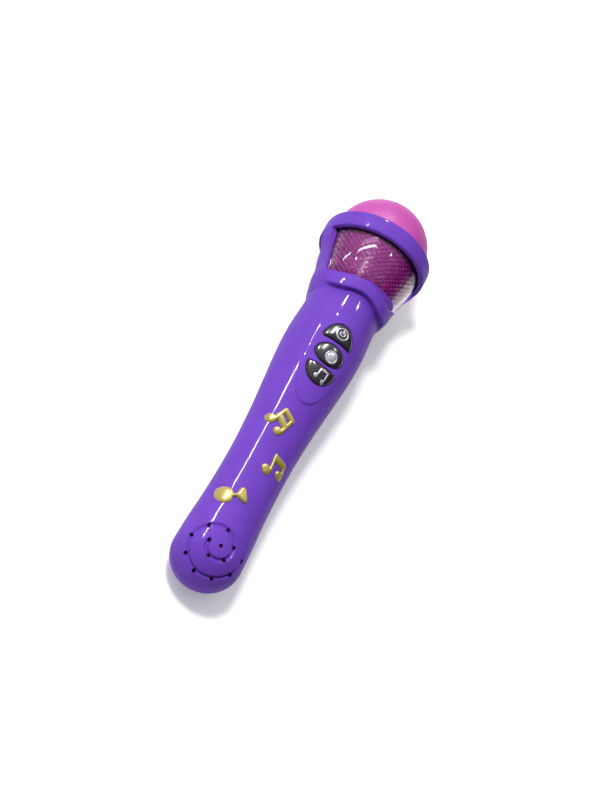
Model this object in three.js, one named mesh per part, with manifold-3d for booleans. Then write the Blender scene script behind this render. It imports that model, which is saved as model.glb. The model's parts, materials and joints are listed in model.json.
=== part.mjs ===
// A battery-powered toy microphone, lying on its back with its buttons up.
// It is drawn along +X from the round tail, front towards +Z and the axis of its turned shapes on
// X, in millimetres. At the end the whole group is tipped so that its two resting flats lie on z = 0.
import * as THREE from "three";
import { mergeVertices } from "three/addons/utils/BufferGeometryUtils.js";
import Module from "manifold-3d";

const wasm = await Module();
wasm.setup();

// Driving dimensions.
const LENGTH = 241;
const SIDES = 28; // facets round the turned shapes
const WALL = 2; // casing wall
const GAP = 0.3; // between pieces that touch
const FAR = 400; // a size larger than the whole object

const TAIL_RADIUS = 17.9;
const TAIL_REACH = 17; // length of the rounded tail end
const HANDLE_END = 172;
const HANDLE = [
  [30, 17.4],
  [45, 16.4],
  [62, 15.8],
  [80, 15.8],
  [100, 16.8],
  [120, 18.5],
  [136, 19.8],
  [148, 20.2],
  [160, 19.6],
]; // x and radius of the handle between its tail and the collar
const NECK_RADIUS = 18.4; // handle at HANDLE_END

const COLLAR = { start: 173.6, end: 182.2, radius: 22.7, bore: 19.5, ledge: 175 };
const RING = { start: 205.6, end: 215.1, radius: 29.4, bore: 26.8, mouth: 25.1, lip: 2.4 };
const GLOBE = { start: 177.2, shoulder: COLLAR.end + GAP, end: 210.2, foot: 19.2, wall: 2.4 };
const GLOBE_BOWL = [
  [GLOBE.shoulder, 21.2],
  [191, 23.1],
  [198, 24.7],
  [205, 25.9],
  [GLOBE.end, 26.4],
]; // outside of the clear bowl above the collar
const STRUT = { turn: 4, halfAngle: 16, proud: 1, sunk: 1 }; // degrees, and depths from the bowl
const DOME = { radius: 24.7, wall: 1.6, flange: 26.5, skirtStart: 180.5, skirtFoot: 14 };

const REST_TAIL = { x: 20.5, depth: TAIL_RADIUS - 0.45 }; // where the resting plane cuts the tail
const REST_RING = { x: 210, depth: RING.radius - 0.5 }; // and the ring

const PAD = { tail: 105.5, head: 158, raise: 0.9 }; // raised pad that holds the buttons
const KEYS = [
  { name: "button_power", kind: "moon", flat: 142.8, reach: 11, half: 8.3, pill: 147 },
  { name: "button_mode", kind: "egg", middle: 135.2, reach: 6.1, half: 8.3, pill: 135.2 },
  { name: "button_music", kind: "moon", flat: 127.6, reach: -10.2, half: 8.2, pill: 123.4 },
];
const FLANGE = { low: 12.1, top: 13.6, ear: 1.4 }; // of a button, under the casing

const BOARD = { start: 106, end: 161.5, half: 9.9, top: 9, thick: 1.6 };
const SPEAKER = { x: 19, radius: 13 };
const CELL = { length: 44.5, radius: 5.25, spacing: 11.2, z: -5, start: 66.7, nub: 1.9 };
const SPRING = { room: 5.4, reach: 4.4, wide: 3.4, narrow: 2.2, wire: 0.3, turns: 3.5 };
const PLATE = { tail: 66, head: 116.9, thick: 0.4, inner: 1.4, outer: 9.4, half: 4.2 };
const BAY = { start: 62, end: 126.5, half: 11.3, tailWall: 64.2, headWall: 117.6, wall: 1.5 };
const DOOR_SCREW_X = 122.6;
const CASE_SCREWS = [
  [44, 0],
  [164.7, 10.8],
  [164.7, -10.8],
];
const BOARD_SCREWS = [110.5, 158.4];

// Solids.

// The closed solid of a three.js geometry.
function solid(geometry) {
  const bare = geometry.index ? geometry.toNonIndexed() : geometry.clone();
  bare.deleteAttribute("normal");
  bare.deleteAttribute("uv");
  const merged = mergeVertices(bare, 1e-4);
  const index = merged.index.array;
  const corners = [];
  for (let i = 0; i < index.length; i += 3) {
    const [a, b, c] = index.slice(i, i + 3);
    // A turned shape has triangles without area where it meets its axis.
    if (a !== b && b !== c && c !== a) corners.push(a, b, c);
  }
  return new wasm.Manifold(
    new wasm.Mesh({
      numProp: 3,
      vertProperties: merged.attributes.position.array,
      triVerts: new Uint32Array(corners),
    }),
  );
}

// The geometry of a solid.
function geometryOf(body) {
  const mesh = body.getMesh();
  const geometry = new THREE.BufferGeometry();
  geometry.setAttribute("position", new THREE.BufferAttribute(mesh.vertProperties, 3));
  geometry.setIndex(new THREE.BufferAttribute(mesh.triVerts, 1));
  geometry.computeVertexNormals();
  return geometry;
}

function join(...bodies) {
  return bodies.reduce((whole, body) => whole.add(body));
}

// A shape turned about the X axis, from [x, radius] points.
function turned(points, sides = SIDES) {
  const outline = points.map(([x, radius]) => new THREE.Vector2(radius, x));
  return solid(new THREE.LatheGeometry(outline, sides).rotateZ(-Math.PI / 2));
}

// The same, from an outline that closes on itself.
function turnedRing(points, sides = SIDES) {
  return turned([...points, points[0]], sides);
}

// A shape turned about an upright axis at x, y, from [radius, z] points.
function upright(points, x, y, sides = 20) {
  const outline = points.map(([radius, z]) => new THREE.Vector2(radius, z));
  return solid(new THREE.LatheGeometry(outline, sides).rotateX(Math.PI / 2).translate(x, y, 0));
}

// An upright rod.
function rod(x, y, low, high, radius, sides = 12) {
  const points = [
    [0, low],
    [radius, low],
    [radius, high],
    [0, high],
  ];
  return upright(points, x, y, sides);
}

function box(x0, x1, y0, y1, z0, z1) {
  const block = new THREE.BoxGeometry(x1 - x0, y1 - y0, z1 - z0);
  return solid(block.translate((x0 + x1) / 2, (y0 + y1) / 2, (z0 + z1) / 2));
}

// A shape of the XY plane raised from z = low to z = high.
function prism(shape, low, high, curveSegments = 10) {
  const raised = new THREE.ExtrudeGeometry(shape, {
    depth: high - low,
    bevelEnabled: false,
    curveSegments,
  });
  return solid(raised.translate(0, 0, low));
}

// A round wire along a smooth curve through points, its section drawn with quarters * 4 sides.
function wire(points, radius, steps, quarters = 2) {
  const path = new THREE.CatmullRomCurve3(points.map((point) => new THREE.Vector3(...point)));
  const section = new THREE.Shape().absarc(0, 0, radius, 0, 2 * Math.PI);
  const sweep = { steps, extrudePath: path, curveSegments: quarters * 2 };
  return solid(new THREE.ExtrudeGeometry(section, sweep));
}

// A smooth curve through [x, radius] stations.
function smooth(stations, count) {
  const curve = new THREE.SplineCurve(stations.map(([x, r]) => new THREE.Vector2(x, r)));
  return curve.getPoints(count).map((point) => [point.x, point.y]);
}

// The outside of the handle from the tail's tip, moved inwards by inset. Inner faces are coarser.
function handleProfile(inset) {
  const [tailSteps, handleSteps] = inset > 0 ? [4, 9] : [5, 14];
  const points = [];
  for (let i = 0; i < tailSteps; i++) {
    const angle = (i / tailSteps) * (Math.PI / 2);
    const reach = (TAIL_REACH - inset) * Math.cos(angle);
    points.push([TAIL_REACH - reach, (TAIL_RADIUS - inset) * Math.sin(angle)]);
  }
  const stations = [[TAIL_REACH, TAIL_RADIUS], ...HANDLE, [HANDLE_END, NECK_RADIUS]];
  for (const [x, radius] of smooth(stations, handleSteps)) points.push([x, radius - inset]);
  return points;
}

// A solid filling that profile, cut off square at HANDLE_END.
function handleCore(inset) {
  return turned([...handleProfile(inset), [HANDLE_END, 0]]);
}

// The handle's outside under the buttons, raised towards the tail and running out at the shoulder.
function padCore(extra) {
  const [tip, ...rest] = handleProfile(0);
  const raised = rest.map(([x, radius]) => {
    const fade = THREE.MathUtils.clamp((PAD.head - x) / (PAD.head - PAD.tail), 0, 1);
    return [x, radius + PAD.raise * fade + extra];
  });
  return turned([tip, ...raised, [HANDLE_END, 0]]);
}

// Casing.

// Two sectors at the sides of the head, turned a little from the seam.
function sideSectors(halfAngle) {
  const spread = FAR * Math.tan(THREE.MathUtils.degToRad(halfAngle));
  const sector = new THREE.Shape();
  sector.moveTo(0, 0).lineTo(FAR, spread).lineTo(FAR, -spread).closePath();
  const right = new THREE.ExtrudeGeometry(sector, { depth: LENGTH, bevelEnabled: false });
  // The sector opens along +X and is raised along Z: turn it to open along Y and run along X.
  right.rotateY(Math.PI / 2).rotateX(Math.PI / 2);
  const left = right.clone().rotateX(Math.PI);
  return join(solid(right), solid(left)).rotate([STRUT.turn, 0, 0]);
}

// The side struts between collar and ring; grow makes the pocket that clears them.
function struts(grow) {
  const bowl = smooth(GLOBE_BOWL.slice(0, -1), 6);
  const foot = [COLLAR.end - GAP - grow, GLOBE_BOWL[0][1] + STRUT.proud];
  const top = [RING.start + 1.6 + grow, GLOBE_BOWL[3][1] + STRUT.proud + 0.5];
  const outside = [foot, ...bowl.map(([x, radius]) => [x, radius + STRUT.proud]), top];
  const inside = outside.map(([x, radius]) => {
    const sunk = radius - STRUT.proud - STRUT.sunk;
    return [x, Math.max(sunk, COLLAR.bore + 0.1) - grow];
  });
  const band = turnedRing([...outside, ...inside.reverse()]);
  return band.intersect(sideSectors(STRUT.halfAngle + 4 * grow));
}

function ringBand() {
  const { start, end, radius, bore, mouth, lip } = RING;
  return turnedRing([
    [start, bore],
    [start, radius - 1.7],
    [start + 0.5, radius - 0.6],
    [start + 1.7, radius],
    [end - 1.7, radius],
    [end - 0.5, radius - 0.6],
    [end, radius - 1.7],
    [end, mouth],
    [end - lip, mouth],
    [end - lip, bore],
  ]);
}

// Handle, collar, struts and ring as one hollow shape, before it is split along its sides.
function casing() {
  const { start, end, radius, bore, ledge } = COLLAR;
  const collar = [
    [start, NECK_RADIUS + 0.2],
    [start, radius - 1.4],
    [start + 1, radius - 0.4],
    [start + 4, radius],
    [end - 1.2, radius - 0.4],
    [end, radius - 1.4],
    [end, bore],
    [ledge, bore],
    [ledge, NECK_RADIUS - WALL],
  ];
  const shell = turned([...handleProfile(0), ...collar, ...handleProfile(WALL).reverse()]);
  return join(shell, struts(0), ringBand());
}

// Everything below the plane that the microphone rests on.
function belowRest() {
  const tilt = restTilt();
  const block = new THREE.BoxGeometry(FAR, FAR, FAR).translate(0, 0, -FAR / 2);
  return solid(block.rotateY(tilt).translate(REST_TAIL.x, 0, -REST_TAIL.depth));
}

function restTilt() {
  return Math.atan2(REST_RING.depth - REST_TAIL.depth, REST_RING.x - REST_TAIL.x);
}

// The pad's outline: a teardrop, round at the tail end and open-ended under the shoulder.
function padShape() {
  const shape = new THREE.Shape();
  shape.moveTo(PAD.head, -12);
  shape.bezierCurveTo(132, -12.6, PAD.tail, -9.5, PAD.tail, 0);
  shape.bezierCurveTo(PAD.tail, 9.5, 132, 12.6, PAD.head, 12);
  return shape.closePath();
}

function keyShape(key, grow) {
  const shape = new THREE.Shape();
  if (key.kind === "egg") {
    shape.absellipse(key.middle, 0, key.reach + grow, key.half + grow, 0, 2 * Math.PI);
    return shape;
  }
  const way = Math.sign(key.reach);
  const flat = key.flat - way * grow;
  const reach = Math.abs(key.reach) + 2 * grow;
  const half = key.half + grow;
  const from = way > 0 ? -Math.PI / 2 : Math.PI / 2;
  shape.absellipse(flat, 0, reach, half, from, from + Math.PI);
  return shape.closePath();
}

// Sound holes: evenly spaced along a spiral that grows with its turn.
function soundHoles() {
  const centre = { x: 16.4, y: 2.3 };
  const holes = [];
  let turn = -1.25;
  for (let i = 0; i < 13; i++) {
    const reach = 2.9 + 1.12 * turn;
    holes.push([centre.x + reach * Math.cos(turn), centre.y + reach * Math.sin(turn)]);
    turn += 10.5 / (reach + 2.4);
  }
  return holes.filter(([x]) => x > WALL);
}

function frontShell(body) {
  let shell = body.intersect(box(-1, LENGTH, -FAR, FAR, GAP / 2, FAR));
  const pad = prism(padShape(), 8, 30).intersect(padCore(0));
  shell = shell.add(pad.subtract(handleCore(WALL)));
  for (const key of KEYS) shell = shell.subtract(prism(keyShape(key, 0.35), 5, 30));
  for (const [x, y] of soundHoles()) shell = shell.subtract(rod(x, y, 4, 30, 1.1, 8));
  for (const note of NOTES) {
    for (const [x, y] of note.pins) shell = shell.subtract(rod(x, y, 5, 30, 0.8 + GAP, 8));
  }
  // Posts for the case screws reach past the seam, posts for the board stop on it.
  const inside = handleCore(WALL - 0.5);
  for (const [x, y] of CASE_SCREWS) {
    shell = shell.add(rod(x, y, -4, 30, 2.6).intersect(inside)).subtract(rod(x, y, -5, 6, 1.3, 8));
  }
  for (const x of BOARD_SCREWS) {
    const post = rod(x, 0, BOARD.top + GAP, 30, 2.3).intersect(inside);
    shell = shell.add(post).subtract(rod(x, 0, 5, 14, 1.2, 8));
  }
  return shell;
}

function backShell(body) {
  let shell = body.intersect(box(-1, LENGTH, -FAR, FAR, -FAR, -GAP / 2));
  shell = shell.subtract(belowRest());
  shell = shell.subtract(box(BAY.start, BAY.end, -BAY.half, BAY.half, -30, -4));
  // End walls of the battery bay, clear of the door, and the block that the door's screw bites.
  const clear = handleCore(WALL + GAP + 0.1);
  const toWall = handleCore(WALL - 0.5);
  for (const x of [BAY.tailWall, BAY.headWall]) {
    const end = x + BAY.wall;
    const middle = box(x, end, -12.5, 12.5, -14, -0.6).intersect(clear);
    const rightLug = box(x - 0.2, end + 0.2, -20, -BAY.half - 0.2, -5, -0.8);
    const leftLug = box(x - 0.2, end + 0.2, BAY.half + 0.2, 20, -5, -0.8);
    shell = join(shell, middle, join(rightLug, leftLug).intersect(toWall));
  }
  const block = box(BAY.headWall + BAY.wall - 0.2, BAY.end - 0.6, -4, 4, -13.9, -2);
  shell = shell.add(block).subtract(rod(DOOR_SCREW_X, 0, -15, -4, 1.3, 8));
  for (const [x, y] of CASE_SCREWS) {
    const bores = rod(x, y, -30, -9.6, 2.4).add(rod(x, y, -10, 0, 1.3, 8));
    shell = shell.add(rod(x, y, -30, -4.4, 3.5).intersect(toWall)).subtract(bores);
  }
  return shell;
}

// Raised music notes: heads and bars seen from the front, each note on locating pins.
const NOTES = [
  {
    name: "note_upper",
    heads: [
      [90.9, 9.2, 2.3],
      [85.8, 3.4, 2.1],
    ],
    bars: [
      [[91, 7.6], [98, 4.8], 1.1],
      [[98, 4.8], [94, -0.6], 1.3],
      [[94.8, 6], [90.8, 0.6], 1.6],
      [[94, -0.6], [86, 1.9], 1.1],
    ],
    pins: [[90.9, 9.2], [85.8, 3.4]],
  },
  {
    name: "note_middle",
    heads: [
      [65.1, -0.9, 2.3],
      [67.1, -8.5, 2],
    ],
    bars: [
      [[65.6, -2.8], [74.9, -1.9], 1.1],
      [[74.2, -1.9], [73.8, -8.8], 2.2],
      [[74.6, -9], [67.4, -10], 1],
    ],
    pins: [[65.1, -0.9], [67.1, -8.5]],
  },
  {
    name: "note_lower",
    heads: [[43, 9, 3.5]],
    bars: [
      [[44, 7], [46.5, 3], 1.3],
      [[45.6, 3.6], [50.8, 2.3], 1.5],
      [[45.8, 3.4], [45.2, -0.9], 1.5],
      [[50.2, 2.6], [45.4, -0.4], 1.5],
    ],
    pins: [[43, 9]],
  },
];

function bar([x0, y0], [x1, y1], width) {
  const across = new THREE.Vector2(y0 - y1, x1 - x0).setLength(width / 2);
  const shape = new THREE.Shape();
  shape.moveTo(x0 + across.x, y0 + across.y).lineTo(x0 - across.x, y0 - across.y);
  shape.lineTo(x1 - across.x, y1 - across.y).lineTo(x1 + across.x, y1 + across.y);
  return prism(shape.closePath(), 5, 30);
}

function musicNote(note) {
  const heads = note.heads.map(([x, y, radius]) => rod(x, y, 5, 30, radius, 14));
  const bars = note.bars.map(([from, to, width]) => bar(from, to, width));
  const relief = join(...heads, ...bars).intersect(handleCore(-1.3));
  const raised = relief.subtract(handleCore(-0.25));
  const pins = note.pins.map(([x, y]) => rod(x, y, 10.5, 15, 0.8, 8));
  const inside = join(...note.pins.map(([x, y]) => rod(x, y, 10.5, 30, 0.8, 8)));
  return join(raised, ...pins, inside.intersect(handleCore(-1)));
}

// Head.

function clearGlobe() {
  const { start, shoulder, foot, wall } = GLOBE;
  const bowl = smooth(GLOBE_BOWL, 6);
  const outside = [[start, foot], [shoulder, foot], ...bowl];
  const [, ...upper] = bowl.map(([x, radius]) => [x, radius - wall]);
  const inside = [[start, foot - wall], [shoulder + 1, foot - wall], ...upper];
  return turnedRing([...outside, ...inside.reverse()]).subtract(struts(GAP));
}

// The pink shade: a round cap over the ring whose skirt reaches down inside the clear bowl.
function domeCap() {
  const { radius, wall, flange, skirtStart, skirtFoot } = DOME;
  const middle = LENGTH - radius;
  const seat = GLOBE.end + GAP;
  const under = RING.end - RING.lip - GAP;
  const cap = (shrink) => {
    const points = [];
    for (let i = 0; i <= 7; i++) {
      const angle = (i / 8) * (Math.PI / 2);
      points.push([
        middle + (radius - shrink) * Math.cos(angle),
        (radius - shrink) * Math.sin(angle),
      ]);
    }
    return points;
  };
  const skirt = [
    [skirtStart, skirtFoot],
    [196, 19.4],
    [seat, 23.2],
  ];
  const inner = skirt.map(([x, r]) => [x, r - wall]).reverse();
  const outside = [...skirt, [seat, flange], [under, flange], [under, radius]];
  return turned([...cap(wall), ...inner, ...outside, ...cap(0).reverse()]);
}

const LED_BOARD = { start: COLLAR.ledge + GAP, thick: 1.6, radius: 19 };

function ledBoard() {
  const { start, thick, radius } = LED_BOARD;
  return turned([[start, 0], [start, radius], [start + thick, radius], [start + thick, 0]], 24);
}

function led(turnDegrees) {
  const base = LED_BOARD.start + LED_BOARD.thick + GAP;
  const body = turned(
    [
      [base, 0],
      [base, 2.9],
      [base + 1, 2.9],
      [base + 1, 2.5],
      [base + 5.6, 2.5],
      [base + 7.3, 1.8],
      [base + 8.1, 0],
    ],
    12,
  );
  const angle = THREE.MathUtils.degToRad(turnDegrees);
  return body.translate([0, 6 * Math.cos(angle), 6 * Math.sin(angle)]);
}

// Buttons.

function keyCap(key) {
  const { low, top } = FLANGE;
  const cap = prism(keyShape(key, 0), top - 0.5, 30).intersect(padCore(0.3));
  // The flange is a little wider than the opening, with an ear at each side.
  const ear = key.half + FLANGE.ear;
  const flange = prism(keyShape(key, 0.5), low, top);
  const ears = box(key.pill - 1.5, key.pill + 1.5, -ear, ear, low, top);
  return cap.add(flange.add(ears).intersect(handleCore(WALL + 0.5)));
}

// A hollow rubber dome under a button.
function rubberDome(key) {
  const low = BOARD.top + GAP;
  const high = FLANGE.low - GAP;
  const points = [
    [0, high - 0.7],
    [1.4, high - 0.7],
    [1.4, low],
    [3.6, low],
    [3.6, low + 0.5],
    [2, high],
    [0, high],
  ];
  return upright(points, key.pill, 0, 16);
}

// Electronics.

function mainBoard() {
  const low = BOARD.top - BOARD.thick;
  let board = box(BOARD.start, BOARD.end, -BOARD.half, BOARD.half, low, BOARD.top);
  for (const x of BOARD_SCREWS) board = board.subtract(rod(x, 0, 0, 12, 1.3, 8));
  return board;
}

function soundChip() {
  const top = BOARD.top - BOARD.thick - GAP;
  const points = [
    [0, top - 1.5],
    [3, top - 1.2],
    [4.6, top - 0.4],
    [4.8, top],
    [0, top],
  ];
  return upright(points, 133, 0, 18);
}

function capacitor() {
  const top = BOARD.top - BOARD.thick - GAP;
  return rod(147, 5, top - 6.5, top, 2.5, 14);
}

function speakerFrame() {
  const outline = [
    [4.2, 1.6],
    [7, 1.6],
    [11.6, 5.4],
    [SPEAKER.radius, 5.4],
    [SPEAKER.radius, 6.8],
    [12.3, 6.8],
    [12.3, 6],
    [11.3, 6],
    [6.9, 2.3],
    [4.2, 2.3],
    [4.2, 1.6],
  ];
  return upright(outline, SPEAKER.x, 0, 24);
}

function speakerCone() {
  const outline = [
    [0, 3.2],
    [3, 3.2],
    [11.9, 6.3],
    [11.9, 6.9],
    [10.9, 6.9],
    [4, 4.2],
    [2.2, 5],
    [0, 5.3],
  ];
  return upright(outline, SPEAKER.x, 0, 24);
}

// Battery bay.

function batteryCell(side) {
  const { length, radius, z, start, spacing, nub } = CELL;
  const body = turned(
    [
      [0, 0],
      [0, radius],
      [length - 1, radius],
      [length - 1, nub],
      [length, nub],
      [length, 0],
    ],
    18,
  );
  // The cell on the left has its nub to the head, beyond its spring; the other lies turned round.
  if (side > 0) return body.translate([start + SPRING.room, spacing / 2, z]);
  return body.rotate([0, 0, 180]).translate([start + length, -spacing / 2, z]);
}

function batterySpring(side) {
  const { length, z, start, spacing } = CELL;
  const { reach, wide, narrow, turns } = SPRING;
  const steps = 36;
  const points = [];
  for (let i = 0; i <= steps; i++) {
    const along = i / steps;
    const angle = 2 * Math.PI * turns * along;
    const radius = THREE.MathUtils.lerp(wide, narrow, along);
    points.push([reach * along, radius * Math.cos(angle), radius * Math.sin(angle)]);
  }
  const coil = wire(points, SPRING.wire, steps, 1);
  // The wide end stands on its plate.
  if (side > 0) return coil.translate([start + PLATE.thick, spacing / 2, z]);
  const foot = start + length + SPRING.room - PLATE.thick;
  return coil.rotate([0, 0, 180]).translate([foot, -spacing / 2, z]);
}

function contactPlate(x, y0, y1) {
  return box(x, x + PLATE.thick, y0, y1, CELL.z - PLATE.half, CELL.z + PLATE.half);
}

function batteryDoor() {
  const { start, end, half } = BAY;
  const shell = handleCore(0).subtract(handleCore(WALL));
  const panel = box(start + GAP, end - GAP, GAP - half, half - GAP, -30, -4);
  const boss = rod(DOOR_SCREW_X, 0, -17.8, -14.2, 3.6);
  const well = rod(DOOR_SCREW_X, 0, -30, -16.2, 2.4);
  const bore = rod(DOOR_SCREW_X, 0, -20, -10, 1.3, 8);
  return shell.intersect(panel).add(boss).subtract(well.add(bore));
}

// A pan-headed screw driven upwards, with a cross recess in its head.
function screw(x, y, headLow, headRadius, length) {
  const head = rod(x, y, headLow, headLow + 1.4, headRadius, 14);
  const shank = rod(x, y, headLow + 1, headLow + 1.4 + length, 1, 8);
  const slot = box(x - 1.2, x + 1.2, y - 0.25, y + 0.25, headLow - 1, headLow + 0.6);
  const cross = box(x - 0.25, x + 0.25, y - 1.2, y + 1.2, headLow - 1, headLow + 0.6);
  return head.add(shank).subtract(slot.add(cross));
}

// Assembly.

const MATERIALS = {
  purple: { color: 0x6f3fc4, roughness: 0.25, metalness: 0 },
  pink: { color: 0xe455c8, roughness: 0.45, metalness: 0 },
  clear: { color: 0xd8b4dc, roughness: 0.05, metalness: 0, transparent: true, opacity: 0.5 },
  smoke: { color: 0x3a3540, roughness: 0.15, metalness: 0 },
  gold: { color: 0xb0983c, roughness: 0.4, metalness: 0.3 },
  rubber: { color: 0xc9c9c9, roughness: 0.8, metalness: 0 },
  board: { color: 0x2f7a45, roughness: 0.5, metalness: 0 },
  black: { color: 0x17171a, roughness: 0.5, metalness: 0 },
  steel: { color: 0xb9bcc0, roughness: 0.3, metalness: 1 },
  lens: { color: 0xe8e8f0, roughness: 0.1, metalness: 0 },
  cell: { color: 0x30343a, roughness: 0.4, metalness: 0.2 },
  paper: { color: 0x8d8a82, roughness: 0.9, metalness: 0 },
  wireRed: { color: 0xb02020, roughness: 0.5, metalness: 0 },
};

const microphone = new THREE.Group();
const materials = {};
for (const [name, look] of Object.entries(MATERIALS)) {
  materials[name] = new THREE.MeshStandardMaterial(look);
}

function piece(name, material, body) {
  const mesh = new THREE.Mesh(geometryOf(body), materials[material]);
  mesh.name = name;
  microphone.add(mesh);
}

const whole = casing();
piece("front_shell", "purple", frontShell(whole));
piece("back_shell", "purple", backShell(whole));
piece("clear_globe", "clear", clearGlobe());
piece("dome_cap", "pink", domeCap());
piece("led_board", "board", ledBoard());
["led_red", "led_green", "led_blue"].forEach((name, i) => piece(name, "lens", led(90 + 120 * i)));

KEYS.forEach((key, i) => {
  piece(key.name, "smoke", keyCap(key));
  piece("rubber_dome_" + (i + 1), "rubber", rubberDome(key));
});
for (const note of NOTES) piece(note.name, "gold", musicNote(note));

piece("main_board", "board", mainBoard());
piece("sound_chip", "black", soundChip());
piece("capacitor", "black", capacitor());
BOARD_SCREWS.forEach((x, i) => piece("board_screw_" + (i + 1), "steel", screw(x, 0, 5.7, 2, 4.6)));

piece("speaker_frame", "steel", speakerFrame());
piece("speaker_cone", "paper", speakerCone());
piece("speaker_magnet", "black", rod(SPEAKER.x, 0, -3.4, 1.3, 6.5, 20));

piece("battery_left", "cell", batteryCell(1));
piece("battery_right", "cell", batteryCell(-1));
piece("battery_spring_left", "steel", batterySpring(1));
piece("battery_spring_right", "steel", batterySpring(-1));
piece("bridge_plate", "steel", contactPlate(PLATE.tail, -PLATE.outer, PLATE.outer));
piece("positive_plate", "steel", contactPlate(PLATE.head, PLATE.inner, PLATE.outer));
piece("negative_plate", "steel", contactPlate(PLATE.head, -PLATE.outer, -PLATE.inner));
piece("battery_door", "purple", batteryDoor());
piece("door_screw", "steel", screw(DOOR_SCREW_X, 0, -17.9, 2.1, 7));
CASE_SCREWS.forEach(([x, y], i) => {
  piece("case_screw_" + (i + 1), "steel", screw(x, y, -11.3, 2.1, 12));
});

const speakerLead = [
  [30.5, 7, 3],
  [38, 9, 4.5],
  [60, 9.5, 3.6],
  [95, 9, 4.6],
  [106.8, 8.4, 6.1],
];
const batteryLead = [
  [117.1, 0, 0.9],
  [119, -1.5, 2.4],
  [121, -4, 4.2],
  [123.5, -6, 6.1],
];
const ledLead = [
  [158, 5, 6.1],
  [163, 4, 3.5],
  [168, 3, 1.2],
  [174, 2, 0],
];
piece("speaker_lead", "black", wire(speakerLead, 0.9, 24));
piece("battery_lead", "wireRed", wire(batteryLead, 0.9, 8));
piece("led_lead", "wireRed", wire(ledLead, 0.9, 12));

// Tip the group onto its two flats and centre it over the origin.
microphone.rotation.y = -restTilt();
const bounds = new THREE.Box3().setFromObject(microphone, true);
microphone.position.set(-(bounds.min.x + bounds.max.x) / 2, 0, -bounds.min.z);

export default microphone;
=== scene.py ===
"""Looks of a battery-powered toy microphone that lies on its back on a pale table.

Shapes are drawn in the microphone's own frame, in millimetres: +X from the tail's tip along the
axis, +Z to the front, where the buttons are, and +Y to the side. MIC takes that frame to the row's.
"""
import json
import math

import bmesh
import bpy
import numpy as np
from mathutils import Matrix, Vector
from mathutils.bvhtree import BVHTree
from mathutils.kdtree import KDTree

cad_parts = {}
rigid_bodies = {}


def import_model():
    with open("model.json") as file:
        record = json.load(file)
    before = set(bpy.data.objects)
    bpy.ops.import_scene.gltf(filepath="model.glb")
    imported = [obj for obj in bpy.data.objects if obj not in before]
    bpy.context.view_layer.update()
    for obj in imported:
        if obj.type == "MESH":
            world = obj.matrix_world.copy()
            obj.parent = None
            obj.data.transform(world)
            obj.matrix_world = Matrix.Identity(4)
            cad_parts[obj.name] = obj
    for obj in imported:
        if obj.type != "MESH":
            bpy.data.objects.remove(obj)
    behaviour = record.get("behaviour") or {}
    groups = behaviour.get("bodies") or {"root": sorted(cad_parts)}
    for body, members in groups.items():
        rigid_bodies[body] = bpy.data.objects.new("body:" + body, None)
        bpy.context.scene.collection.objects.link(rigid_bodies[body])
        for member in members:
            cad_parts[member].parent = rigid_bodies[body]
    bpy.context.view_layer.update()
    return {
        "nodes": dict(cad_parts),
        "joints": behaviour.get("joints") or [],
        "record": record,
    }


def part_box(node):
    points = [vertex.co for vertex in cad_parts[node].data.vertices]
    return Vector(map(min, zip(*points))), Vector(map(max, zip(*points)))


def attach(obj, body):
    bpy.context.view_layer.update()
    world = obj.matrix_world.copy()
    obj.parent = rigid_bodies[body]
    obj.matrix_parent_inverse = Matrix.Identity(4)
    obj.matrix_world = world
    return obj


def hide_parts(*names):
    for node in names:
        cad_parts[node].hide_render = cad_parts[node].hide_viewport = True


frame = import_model()

# Driving dimensions. What the CAD model has too is the same there or within 0.6 mm, except that here the
# right strut sits 6 degrees further round and the shade's skirt is wider.
TAIL_REACH = 17.0
TAIL_RADIUS = 17.9
HANDLE = [(TAIL_REACH, TAIL_RADIUS), (30, 17.4), (45, 16.4), (62, 15.8), (80, 15.8), (100, 16.8)]
HANDLE += [(120, 18.5), (136, 19.8), (148, 20.2), (160, 19.6), (172, 18.4)]
HANDLE_END, NECK_RADIUS = HANDLE[-1]
WALL = 2.0
# Outside of the clear bowl, as x and radius, from inside the collar to inside the ring.
BOWL = [(179, 20.1), (182.5, 21.05), (191, 23.2), (198, 24.7), (205, 25.85), (210.2, 26.35)]
BOWL_FOOT = {"start": 177.2, "radius": 19.2}
BOWL_WALL = 1.8
# Outside of the skirt that hangs from the pink cap and is the shade behind the bowl, and its inside.
SHADE = [(180.5, 17.2), (184, 18.5), (188, 19.7), (196, 21.4), (203, 22.7), (210.5, 23.5)]
SHADE_INSIDE = [(210.5, 21.6), (196, 17.8), (180.5, 12.4)]
BOWL_BUMP, SHADE_BUMP = 0.2, 1.0  # heights of the two lattices
COLLAR = {"face": 173.6, "radius": 22.1, "end": 182.35, "bore": 19.5, "ledge": 175.0}
# How far the collar's two edges wave towards the tip, by degrees from the front.
FACE_WAVE = [(-90, 4.6), (-76, 3.8), (-62, 1), (-50, -0.7), (-35, -1.3), (-15, 0.3), (0, 1.1), (15, 0.4)]
FACE_WAVE += [(30, -0.8), (45, -0.8), (60, -0.2), (90, 0)]
END_WAVE = [(-90, 4.4), (-76, 3.6), (-62, 0.8), (-50, -1.2), (-30, -1.8), (-10, -0.9), (7, -0.3)]
END_WAVE += [(23, -1.2), (48, -1.8), (65, -1.3), (90, -0.8)]
POCKET = 1.2  # depth that a strut is let into the bowl
RING = {"start": 205.6, "end": 215.1, "radius": 28.9, "bore": 26.8, "mouth": 25.1, "lip": 212.7}
STRUT = {"left": 86.0, "right": -100.0, "half": 16.0}  # degrees from the front
TIP = 241.0
DOME_RADIUS = 24.7
LED_BOARD_X = 176.1  # middle of the board across the collar, which lies on the axis
SEAM_GAP = 0.015  # from each half of the casing to the plane between them
SEAM_DROP, SEAM_WIDTH = 0.22, 1.3  # of the shallow groove along it, in mm and in degrees
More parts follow.
